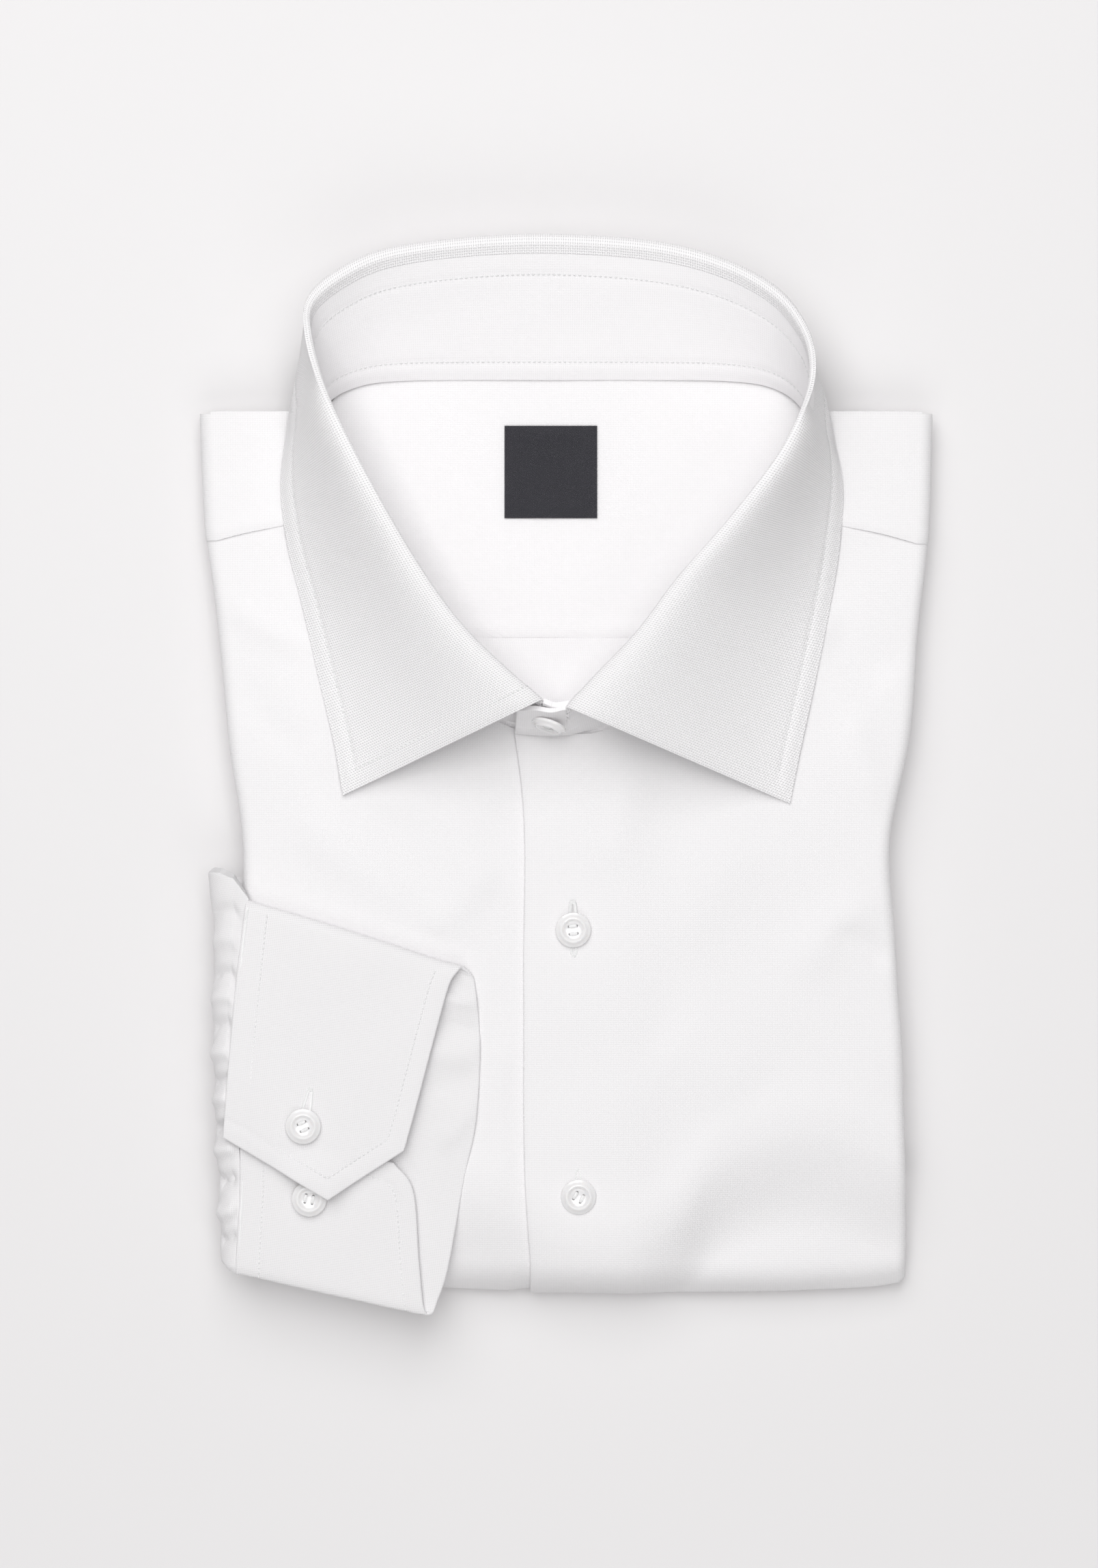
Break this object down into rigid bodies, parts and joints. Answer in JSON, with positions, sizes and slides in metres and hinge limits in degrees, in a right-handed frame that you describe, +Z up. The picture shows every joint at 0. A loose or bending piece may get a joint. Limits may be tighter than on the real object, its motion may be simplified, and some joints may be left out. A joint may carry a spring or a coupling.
{
  "type": "folded dress shirt",
  "caption": "White dress shirt folded flat for a shelf, with a standing spread collar, a buttoned placket and one barrel cuff folded over the front.",
  "frame": {"origin": "on the surface under the folded shirt, at the middle of its width and length", "axes": "+Y from the hem end to the collar, +X to the viewer's right when the shirt is seen from above with its collar at the top, +Z up from the surface"},
  "size_m": [0.2384, 0.3469, 0.049],
  "materials": {
    "white_cotton": "white basket-weave cotton shirting, pressed, matt with a faint sheen",
    "dark_label": "dark blue-black woven satin label, bare",
    "pearl_button": "pearly white translucent button, polished"
  },
  "bodies": {
    "root": {"folded_layers": "white_cotton", "back": "white_cotton", "yoke": "white_cotton", "front_right": "white_cotton", "front_left": "white_cotton", "collar_band": "white_cotton", "collar_leaf": "white_cotton", "sleeve": "white_cotton", "cuff": "white_cotton", "label": "dark_label", "button_collar": "pearl_button", "button_front_1": "pearl_button", "button_front_2": "pearl_button", "button_cuff_1": "pearl_button", "button_cuff_2": "pearl_button"}
  },
  "joints": []
}
